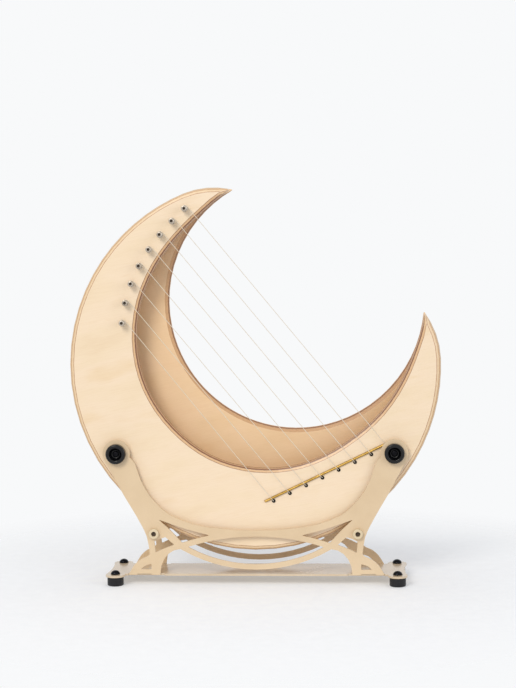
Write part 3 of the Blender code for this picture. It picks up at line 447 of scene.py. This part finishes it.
# %% Profiles
def eased(points, radius, steps=5):
    """Profile with each inner corner replaced by a quadratic curve between two points a
    radius away from it, or nearer where a side is short."""
    points = np.asarray(points, float)
    out = [points[:1]]
    share = np.linspace(0, 1, steps)[:, None]
    for before, corner, after in zip(points, points[1:], points[2:]):
        back = np.linalg.norm(before - corner)
        ahead = np.linalg.norm(after - corner)
        first = corner + (before - corner) * min(radius / back, 0.48)
        last = corner + (after - corner) * min(radius / ahead, 0.48)
        out.append(first * (1 - share) ** 2 + corner * 2 * share * (1 - share) + last * share ** 2)
    out.append(points[-1:])
    return np.vstack(out)


def hexagon(angle):
    """Radius of a six-sided hole of inradius 1: 1 over cos of the angle to the nearest flat."""
    step = np.pi / 3
    return 1 / np.cos((angle + step / 2) % step - step / 2)


print("an eased corner has", len(eased([(0, 0), (1, 0), (1, 1)], 0.2)) - 2, "points")

# %% [markdown]
# ## From a grid to a piece
# Every turned piece and every string ends as the same kind of mesh: rows of points that
# close into rings. A cylinder primitive would have to be bent and cut. Here neighbours
# in the grid make the faces, points that meet at a pole are merged, open ends are
# capped, and edges sharper than 38 degrees keep a crisp shade.

# %% Meshes from grids
SMOOTH_BELOW = math.radians(38)


def make_piece(name, grid, material):
    """Mesh of a grid of points (rows, columns, 3), closed round its columns. Points that
    meet are merged and open ends are capped."""
    rows, columns = grid.shape[:2]
    index = np.arange(rows * columns).reshape(rows, columns)
    beside = np.roll(index, -1, axis=1)
    quads = np.stack([index[:-1], beside[:-1], beside[1:], index[1:]], -1)
    mesh = bpy.data.meshes.new(name)
    mesh.from_pydata(grid.reshape(-1, 3).tolist(), [], quads.reshape(-1, 4).tolist())
    work = bmesh.new()
    work.from_mesh(mesh)
    bmesh.ops.remove_doubles(work, verts=work.verts, dist=1e-7)
    ends = [edge for edge in work.edges if len(edge.link_faces) == 1]
    if ends:
        bmesh.ops.holes_fill(work, edges=ends)
    bmesh.ops.recalc_face_normals(work, faces=work.faces)
    work.to_mesh(mesh)
    work.free()
    mesh.materials.append(material)
    mesh.shade_smooth()
    mesh.set_sharp_from_angle(angle=SMOOTH_BELOW)
    piece = bpy.data.objects.new(name, mesh)
    bpy.context.scene.collection.objects.link(piece)
    return piece


def revolve(name, origin, out, profile, material, columns=48, shape=None):
    """Turned surface: point = origin + radius (u cos a + v sin a) + height out.
    shape gives, per row, a factor on the radius against the angle."""
    out = np.asarray(out, float)
    u = np.array([1.0, 0.0, 0.0])
    v = np.cross(out, u)
    angle = np.linspace(0, 2 * np.pi, columns, endpoint=False)
    radius = profile[:, :1] * np.ones_like(angle)
    if shape is not None:
        radius = radius * shape(angle, profile)
    ring = np.cos(angle)[None, :, None] * u + np.sin(angle)[None, :, None] * v
    grid = np.asarray(origin) + radius[..., None] * ring + profile[:, 1][:, None, None] * out
    return make_piece(name, grid, material)


def centre_of(node):
    low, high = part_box(node)
    return (np.array(low) + np.array(high)) / 2


def put(piece, body, *nodes):
    """Let a piece ride on a body in place of nodes, and count its faces."""
    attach(piece, body)
    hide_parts(*nodes)
    return len(piece.data.polygons)


def darken_socket(piece, origin, out, reach, floor):
    """Faces nearer to the axis than reach and higher than floor take the painted socket shade."""
    piece.data.materials.append(socket_shade)
    middles = np.empty(len(piece.data.polygons) * 3)
    piece.data.polygons.foreach_get("center", middles)
    offset = middles.reshape(-1, 3) - np.asarray(origin)
    height = offset @ out
    radius = np.linalg.norm(offset - height[:, None] * out, axis=1)
    inside = (radius < reach) & (height > floor)
    piece.data.polygons.foreach_set("material_index", inside.astype(np.int32))


FACING = {"front": np.array([0.0, -1.0, 0.0]), "back": np.array([0.0, 1.0, 0.0])}
SIDES = ("left", "right")
CORNERS = [(face, side) for face in FACING for side in SIDES]
print("paired pieces sit at", len(CORNERS), "corners")

# %% [markdown]
# ## Cups and bolts at the arms' heads
# Each arm ends in a black moulded cup with a button-head bolt in its bowl. A plain disc
# would catch no light. The bowl's slope and the eased rim do, so the profile runs up the
# outside, over the rim, down the bowl to its floor and back through the bore.

# %% Cups
CUP_BORE = 3.3 * MM
CUP_FLOOR = 3.0 * MM
BOWL_BOTTOM = 5.0 * MM
BOWL_MOUTH = 7.9 * MM


def cup_surface(face, side):
    node = "arm_cup_%s_%s" % (face, side)
    low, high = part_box(node)
    middle = centre_of(node)
    seat_y = high[1] if face == "front" else low[1]
    rim = (high[0] - low[0]) / 2
    height = high[1] - low[1]
    outline = [(CUP_BORE, CUP_FLOOR), (CUP_BORE, 0), (rim - 0.5 * MM, 0), (rim, 0.9 * MM),
               (rim, height - 1.4 * MM), (rim - 1.2 * MM, height), (BOWL_MOUTH, height),
               (BOWL_BOTTOM, CUP_FLOOR), (CUP_BORE, CUP_FLOOR)]
    piece = revolve("cup_%s_%s" % (face, side), (middle[0], seat_y, middle[2]), FACING[face],
                    eased(outline, 0.7 * MM), cup_plastic, 72)
    return put(piece, HARP, node)


print("cups:", sum(cup_surface(*corner) for corner in CORNERS), "faces")

# %% [markdown]
# ## Mount bolts
# One black bolt passes through the cups of each side, with a button head at both ends.
# Two screws and a rod would need fitting. One half profile and its mirror image give
# the whole bolt. Its socket is a hexagon: the radius follows 1 over the cosine of the
# angle to the nearest flat.

# %% Mount bolts
BOLT_HEAD_HEIGHT = 1.6 * MM
BOLT_SOCKET = 1.5 * MM
BOLT_SOCKET_DEPTH = 1.1 * MM


def bolt_surface(side):
    node = "mount_bolt_" + side
    low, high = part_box(node)
    middle = centre_of(node)
    top = (high[1] - low[1]) / 2
    under = top - BOLT_HEAD_HEIGHT
    floor = top - BOLT_SOCKET_DEPTH
    half = [(0, floor), (BOLT_SOCKET, floor), (BOLT_SOCKET, top), (2.6 * MM, top),
            (4.05 * MM, under + 0.5 * MM), (4.05 * MM, under), (3.0 * MM, under)]
    half = eased(half, 0.25 * MM, 4)

    def socket_shape(angle, rows):
        inside = (np.abs(rows[:, 1]) > under) & (rows[:, 0] < BOLT_SOCKET + 0.1 * MM)
        return np.where(inside[:, None], hexagon(angle), 1.0)

    piece = revolve("bolt_" + side, (middle[0], 0, middle[2]), FACING["front"],
                    np.vstack([half, half[::-1] * (1, -1)]), black_oxide, 48, socket_shape)
    return put(piece, HARP, node)


print("bolts:", sum(bolt_surface(side) for side in SIDES), "faces")

# %% [markdown]
# ## Socket cap screws
# Four beige cap screws tie the frames through spacer tubes. A real head is a cylinder
# with a six-sided socket and a knurl. Modelled ridges would need many cuts. Here the
# radius of the side wall ripples by a tenth of a millimetre, 32 times round.

# %% Cap screws
CAP_HEIGHT = 4.5 * MM
CAP_RADIUS = 6.18 * MM
CAP_SOCKET = 2.9 * MM
CAP_SOCKET_FLOOR = 1.0 * MM
KNURLS = 32
KNURL_DEPTH_SHARE = 0.017


def cap_shape(angle, rows):
    """Hexagon inside the socket, ripple on the side wall, round elsewhere."""
    radius, height = rows[:, 0], rows[:, 1]
    inside = (height > CAP_SOCKET_FLOOR - 0.3 * MM) & (radius < CAP_SOCKET + 0.1 * MM)
    side_wall = (radius > CAP_RADIUS - 0.08 * MM) & (height > 0.3 * MM)
    knurl = 1 - KNURL_DEPTH_SHARE * (0.5 + 0.5 * np.cos(KNURLS * angle))
    return np.where(side_wall[:, None], knurl, np.where(inside[:, None], hexagon(angle), 1.0))


def cap_screw(face, side):
    node = "cross_screw_%s_%s" % (face, side)
    low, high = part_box(node)
    middle = centre_of(node)
    tip = CAP_HEIGHT - (high[1] - low[1])
    seat_y = low[1] + CAP_HEIGHT if face == "front" else high[1] - CAP_HEIGHT
    outline = [(0, CAP_SOCKET_FLOOR), (CAP_SOCKET, CAP_SOCKET_FLOOR), (CAP_SOCKET, CAP_HEIGHT),
               (5.5 * MM, CAP_HEIGHT), (CAP_RADIUS, CAP_HEIGHT - 0.7 * MM), (CAP_RADIUS, 0),
               (2.5 * MM, 0), (2.5 * MM, tip + 0.6 * MM), (2.0 * MM, tip), (0, tip)]
    origin = (middle[0], seat_y, middle[2])
    piece = revolve("cap_screw_%s_%s" % (face, side), origin, FACING[face],
                    eased(outline, 0.3 * MM, 4), screw_coat, 128, cap_shape)
    # Painted shade in the hex socket.
    darken_socket(piece, origin, FACING[face], CAP_SOCKET + 0.05 * MM, CAP_SOCKET_FLOOR - 0.3 * MM)
    return put(piece, HARP, node)


print("cap screws:", sum(cap_screw(*corner) for corner in CORNERS), "faces")

# %% [markdown]
# ## Feet and domed screws
# A foot is a short rubber puck with nearly straight sides and a small round at the floor.
# Above the base plate its screw ends in a smooth dome. A cut sphere would need trimming.
# A profile that follows sine and cosine of one angle gives the dome and its shank in one.

# %% Feet and domed screws
FOOT_BORE = 2.7 * MM
FOOT_BORE_FLOOR = 3.5 * MM
DOME_HEIGHT = 4.5 * MM
DOME_SHANK = 2.4 * MM


def foot_surface(face, side):
    node = "rubber_foot_%s_%s" % (face, side)
    low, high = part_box(node)
    middle = centre_of(node)
    radius, top = (high[0] - low[0]) / 2, high[2]
    outline = [(0, FOOT_BORE_FLOOR), (FOOT_BORE, FOOT_BORE_FLOOR), (FOOT_BORE, top),
               (radius - 0.4 * MM, top), (radius, top - 0.6 * MM), (radius, 0.9 * MM),
               (radius - 0.9 * MM, 0), (0, 0)]
    piece = revolve("foot_%s_%s" % (face, side), (middle[0], middle[1], 0), (0, 0, 1),
                    eased(outline, 0.6 * MM, 6), rubber, 64)
    return put(piece, HARP, node)


def dome_surface(face, side):
    """Dome point = (radius sin a, seat + height cos a), for a from the top to the rim."""
    node = "foot_screw_%s_%s" % (face, side)
    low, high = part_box(node)
    middle = centre_of(node)
    radius = (high[0] - low[0]) / 2
    seat = high[2] - DOME_HEIGHT
    lean = np.linspace(0, np.pi / 2, 14)
    dome = np.stack([radius * np.sin(lean), seat + DOME_HEIGHT * np.cos(lean)], -1)
    shank = np.array([(DOME_SHANK, seat), (DOME_SHANK, low[2]), (0, low[2])])
    piece = revolve("dome_%s_%s" % (face, side), (middle[0], middle[1], 0), (0, 0, 1),
                    np.vstack([dome, shank]), black_oxide, 48)
    return put(piece, HARP, node)


count = sum(foot_surface(*corner) + dome_surface(*corner) for corner in CORNERS)
print("feet and domes:", count, "faces")

# %% [markdown]
# ## Tuning pins
# A tuning pin is a steel rod with a round head, a key socket and a fine thread that bites
# into the plate. Seen end-on it is a grey ring with a dark centre. The thread could be a
# cut helix. As a ripple of the radius that climbs with the angle, it stays part of one
# surface.

# %% Tuning pins
PIN_RADIUS = 3.08 * MM
PIN_NECK = 8.4 * MM
PIN_TOP = 13.0 * MM
PIN_HEAD_RADIUS = 3.48 * MM
PIN_SOCKET = 1.45 * MM
PIN_SOCKET_FLOOR = PIN_TOP - 2.2 * MM
THREAD_PITCH = 0.8 * MM
THREAD_DEPTH_SHARE = 0.035
THREAD_TOP = 4.0 * MM


def pin_surface(number, joint):
    """Thread factor = 1 - depth (0.5 + 0.5 cos(angle - 2 pi height / pitch))."""
    node = "tuning_pin_%d" % number
    middle = joint["pos_m"]
    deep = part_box(node)[1][1] + PLATE_FACE
    start = -deep + 0.6 * MM
    shank = [(PIN_RADIUS, height) for height in np.linspace(start, PIN_NECK - 0.3 * MM, 150)]
    head = eased([(PIN_RADIUS, PIN_NECK), (PIN_HEAD_RADIUS, PIN_NECK),
                  (PIN_HEAD_RADIUS, PIN_TOP - 0.5 * MM), (2.95 * MM, PIN_TOP),
                  (PIN_SOCKET, PIN_TOP), (PIN_SOCKET, PIN_SOCKET_FLOOR), (0, PIN_SOCKET_FLOOR)],
                 0.3 * MM)
    profile = np.vstack([[(0, -deep), (PIN_RADIUS - 0.6 * MM, -deep)], shank, head])

    def pin_shape(angle, rows):
        radius, height = rows[:, :1], rows[:, 1:]
        wave = 0.5 + 0.5 * np.cos(angle[None, :] - 2 * np.pi * height / THREAD_PITCH)
        threaded = (height > start) & (height < THREAD_TOP)
        inside = (height > PIN_SOCKET_FLOOR - 0.1 * MM) & (radius < PIN_SOCKET + 0.15 * MM)
        return (1 - THREAD_DEPTH_SHARE * wave * threaded) * np.where(inside, hexagon(angle), 1.0)

    origin = (middle[0], -PLATE_FACE, middle[2])
    piece = revolve("pin_%d_surface" % number, origin, FACING["front"], profile, nickel, 48,
                    pin_shape)
    # Painted shade in the key socket.
    darken_socket(piece, origin, FACING["front"], PIN_SOCKET + 0.25 * MM,
                  PIN_SOCKET_FLOOR - 0.1 * MM)
    return put(piece, joint["child"], node)


print("pins:", sum(pin_surface(k, joint) for k, joint in enumerate(JOINTS, 1)), "faces")

# %% [markdown]
# ## Strings
# Each string is one tube: two windings on its pin, a straight run, a bend over the brass
# bar and a drop through its bush to the ball behind. A curve object with a bevel would
# do, but it twists where the path turns hard. Here a circle is carried along the path in
# a frame that turns as little as it can from one point to the next.

# %% Carried tube
def carried_tube(name, path, radii, material, columns=10):
    """Circle swept along a path. Each ring's side is the last one's, made square to the
    path again, which is the least turn that keeps it square."""
    step = np.gradient(path, axis=0)
    along = step / np.linalg.norm(step, axis=1)[:, None]
    side = np.cross(along[0], (0.3, 0.5, 0.8))
    sides = []
    for direction in along:
        side = side - direction * side.dot(direction)
        side = side / np.linalg.norm(side)
        sides.append(side)
    sides = np.array(sides)
    others = np.cross(along, sides)
    angle = np.linspace(0, 2 * np.pi, columns, endpoint=False)[None, :, None]
    ring = sides[:, None] * np.cos(angle) + others[:, None] * np.sin(angle)
    return make_piece(name, path[:, None] + ring * np.asarray(radii)[:, None, None], material)


HOLES = {k: centre_of("string_grommet_%d" % k) for k in range(1, len(JOINTS) + 1)}
BAR_MIDDLE = centre_of("bridge_bar")
SLOPE = HOLES[1][[0, 2]] - HOLES[len(JOINTS)][[0, 2]]
SLOPE = SLOPE / np.linalg.norm(SLOPE)
print("the holes climb %.1f degrees" % math.degrees(math.atan2(SLOPE[1], SLOPE[0])))

# %% [markdown]
# ## The way a string takes
# A string leaves its pin where the straight run touches the winding's circle. It then
# crosses the bar at its crest and enters its hole. It could be drawn by hand, but then
# every change of a pin would ask for a new drawing. Here the places of pin, bar and hole
# are read, and the route follows from them.

# %% String route
STRING_RADIUS = 0.35 * MM
CLEAR = 0.3 * MM
COIL_RADIUS = 3.1 * MM + CLEAR + STRING_RADIUS
COIL_FOOT = 4.8 * MM
COIL_PITCH = 1.3 * MM
BAR_RIDE = 1.5 * MM + CLEAR + STRING_RADIUS
RIM_CLEAR = 1.55 * MM
BALL_RADIUS = 1.9 * MM
BALL_TIP_RADIUS = 1.4 * MM


def string_route(number, joint):
    """Winding point = pin + coil radius at the angle, with a depth that grows a pitch a
    turn. The run leaves where it touches the coil's circle and crosses the bar's crest."""
    pin = np.array(joint["pos_m"])[[0, 2]]
    hole = HOLES[number][[0, 2]]
    reach = np.linalg.norm(hole - pin)
    heading = math.atan2(*(hole - pin)[::-1])
    leave = heading + math.pi / 2 + math.asin(COIL_RADIUS / reach)
    turns = np.linspace(2.0, 0.0, 97)
    angle = leave + 2 * np.pi * turns
    rise = COIL_PITCH * np.clip(turns - 0.1, 0, None)
    coils = np.stack([pin[0] + COIL_RADIUS * np.cos(angle), -PLATE_FACE - COIL_FOOT - rise,
                      pin[1] + COIL_RADIUS * np.sin(angle)], -1)
    last = coils[-1][[0, 2]]
    course = (hole - last) / np.linalg.norm(hole - last)
    to_bar = BAR_MIDDLE[[0, 2]] - hole
    across = abs(course[0] * SLOPE[1] - course[1] * SLOPE[0])
    drop = abs(to_bar[0] * SLOPE[1] - to_bar[1] * SLOPE[0])
    bend = np.radians(np.linspace(0, 60, 8))
    flat = hole - course * drop / across + course * (BAR_RIDE * np.sin(bend) / across)[:, None]
    over = np.stack([flat[:, 0], BAR_MIDDLE[1] - BAR_RIDE * np.cos(bend), flat[:, 1]], -1)
    rim = -PLATE_FACE - RIM_CLEAR
    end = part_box("string_%d" % number)[1][1]
    depths = (rim, rim + 0.5 * MM, end - 3.1 * MM, end - 2.7 * MM, end - 0.3 * MM, end)
    down = np.array([(hole[0], depth, hole[1]) for depth in depths])
    return np.vstack([coils, over, down])


def string_surface(number, joint):
    path = string_route(number, joint)
    radii = np.full(len(path), STRING_RADIUS)
    radii[-3:] = (BALL_RADIUS, BALL_RADIUS, BALL_TIP_RADIUS)
    piece = carried_tube("string_%d_surface" % number, path, radii, string_nylon)
    return put(piece, HARP, "string_%d" % number)


print("strings:", sum(string_surface(k, joint) for k, joint in enumerate(JOINTS, 1)), "faces")

# %% [markdown]
# ## Bushes in the string holes
# A small black bush lines each hole so that the string doesn't saw into the ply. Its rim
# stands just under a millimetre proud and reads as a bead under the bar. A washer-like ring
# would do from afar. The eased profile also closes round the bore, so it holds up close.

# %% Bushes
BUSH_BORE = 1.0 * MM
BUSH_SHANK = 1.9 * MM
RIM_UNDER = 0.3 * MM


def bush_surface(number):
    node = "string_grommet_%d" % number
    low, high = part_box(node)
    middle = HOLES[number]
    rim = (high[0] - low[0]) / 2
    top, bottom = -PLATE_FACE - low[1], -PLATE_FACE - high[1]
    outline = [(BUSH_BORE, bottom), (BUSH_SHANK, bottom), (BUSH_SHANK, RIM_UNDER),
               (rim, RIM_UNDER), (rim, top), (BUSH_BORE, top), (BUSH_BORE, bottom)]
    piece = revolve("grommet_%d" % number, (middle[0], -PLATE_FACE, middle[2]), FACING["front"],
                    eased(outline, 0.25 * MM), bush_plastic, 32)
    return put(piece, HARP, node)


print("bushes:", sum(bush_surface(k) for k in HOLES), "faces")

# %% [markdown]
# ## Camera
# The camera stands where the photographer's did. It was fitted to the base plate, the
# feet and the moon's circle in the photo. Aiming it by eye could hide an error in size.
# Its three axes make the rotation, and the focal length in pixels makes the lens.

# %% Camera
AZIMUTH, ELEVATION, ROLL = math.radians(4.04), math.radians(4.26), math.radians(-0.69)
CAMERA_PLACE = Vector((0.14896, -2.05941, 0.44204))
FOCAL_PIXELS = 1712.0
FRAME_HEIGHT = 688.0
SENSOR_HEIGHT = 36.0

back = Vector((math.sin(AZIMUTH) * math.cos(ELEVATION), -math.cos(AZIMUTH) * math.cos(ELEVATION),
               math.sin(ELEVATION)))
level_right = Vector((math.cos(AZIMUTH), math.sin(AZIMUTH), 0))
level_up = back.cross(level_right)
right = level_right * math.cos(ROLL) + level_up * math.sin(ROLL)
up = level_up * math.cos(ROLL) - level_right * math.sin(ROLL)
camera_data = bpy.data.cameras.new("camera")
camera_data.sensor_fit = "VERTICAL"
camera_data.sensor_height = SENSOR_HEIGHT
camera_data.lens = FOCAL_PIXELS / FRAME_HEIGHT * SENSOR_HEIGHT
camera = bpy.data.objects.new("camera", camera_data)
turned = Matrix((right, up, back)).transposed().to_4x4()
camera.matrix_world = Matrix.Translation(CAMERA_PLACE) @ turned
bpy.context.scene.collection.objects.link(camera)
bpy.context.scene.camera = camera
print("lens %.1f mm" % camera_data.lens)

# %% [markdown]
# ## Lamps and room
# One large soft lamp hangs at the upper left, as the arms' shadows on the face say, and a
# weaker one fills the right. Sun lamps would draw hard shadows that the photo lacks. The
# world is a pale room for light, and a plain off-white where the camera, a gloss or a
# clear material looks straight at it, so the backdrop is white without more light.

# %% Lamps and room
AIM = (0, 0, 0.25)


def lamp(name, place, size, watts, colour):
    data = bpy.data.lights.new(name, "AREA")
    data.shape = "DISK"
    data.size = size
    data.energy = watts
    data.color = linear(colour)[:3]
    made = bpy.data.objects.new(name, data)
    made.location = place
    made.rotation_euler = (Vector(AIM) - Vector(place)).to_track_quat("-Z", "Y").to_euler()
    bpy.context.scene.collection.objects.link(made)


lamp("key", (-1.0, -2.5, 1.9), 1.3, 44, "#FFFAF2")
lamp("fill", (1.9, -1.6, 0.9), 1.4, 10, "#F2F6FF")

world = bpy.data.worlds.new("studio")
world.use_nodes = True
bpy.context.scene.world = world
sky = world.node_tree
room = sky.nodes["Background"]
room.inputs["Color"].default_value = linear("#F6F7FA")
room.inputs["Strength"].default_value = 0.66
plain = add(sky, "Background", (linear("#F8F9FA"), 1.0))
rays = add(sky, "LightPath").node.outputs
seen = add(sky, "Math", (rays["Is Camera Ray"], rays["Is Glossy Ray"]), operation="MAXIMUM")
seen = add(sky, "Math", (seen, rays["Is Transmission Ray"]), operation="MAXIMUM")
both = add(sky, "MixShader", (seen, room.outputs[0], plain))
sky.links.new(both, sky.nodes["World Output"].inputs["Surface"])
bpy.context.scene.view_settings.view_transform = "Standard"
print("lamps:", len(bpy.data.lights))

# %% [markdown]
# ## Floor
# The floor is a matt paper sweep. A curved sheet could join it to the backdrop. A flat
# one that turns clear with distance shows no horizon either, and it keeps the shadow
# near the feet. It glows a little, as a translucent sweep lit from below does, so that
# the shadow stays soft.

# %% Floor
FLOOR_HALF = 1.5
FLOOR_DROP = 0.2 * MM
FADE_FROM, FADE_TO = 0.24, 0.55


def sweep_paper():
    """Paper whose share of clear grows with the distance from the origin."""
    material, tree, shader, place = new_finish(
        "studio_floor", Roughness=0.9, Specular_IOR_Level=0.1, Emission_Strength=0.26,
        Emission_Color=linear("#F8F9FA"))
    speck = grain(tree, place, 60, 2)
    lay_on(tree, shader, Base_Color=add(tree, "ValToRGB", [speck],
                                        stops=[(0.3, "#DADCDF"), (0.7, "#DEE0E3")]))
    distance = add(tree, "VectorMath", [place], "Value", operation="LENGTH")
    fade = add(tree, "MapRange", (distance, FADE_FROM, FADE_TO, 0.0, 1.0))
    clear = add(tree, "BsdfTransparent")
    blend = add(tree, "MixShader", (fade, shader.outputs[0], clear))
    tree.links.new(blend, tree.nodes["Material Output"].inputs["Surface"])
    return material


corners = np.array([(-1, -1, 0), (1, -1, 0), (1, 1, 0), (-1, 1, 0)]) * FLOOR_HALF
floor_mesh = bpy.data.meshes.new("floor")
floor_mesh.from_pydata(corners.tolist(), [], [(0, 1, 2, 3)])
floor_mesh.materials.append(sweep_paper())
floor = bpy.data.objects.new("floor", floor_mesh)
floor.location.z = -FLOOR_DROP
bpy.context.scene.collection.objects.link(floor)
print("floor: %.1f m wide" % (2 * FLOOR_HALF))
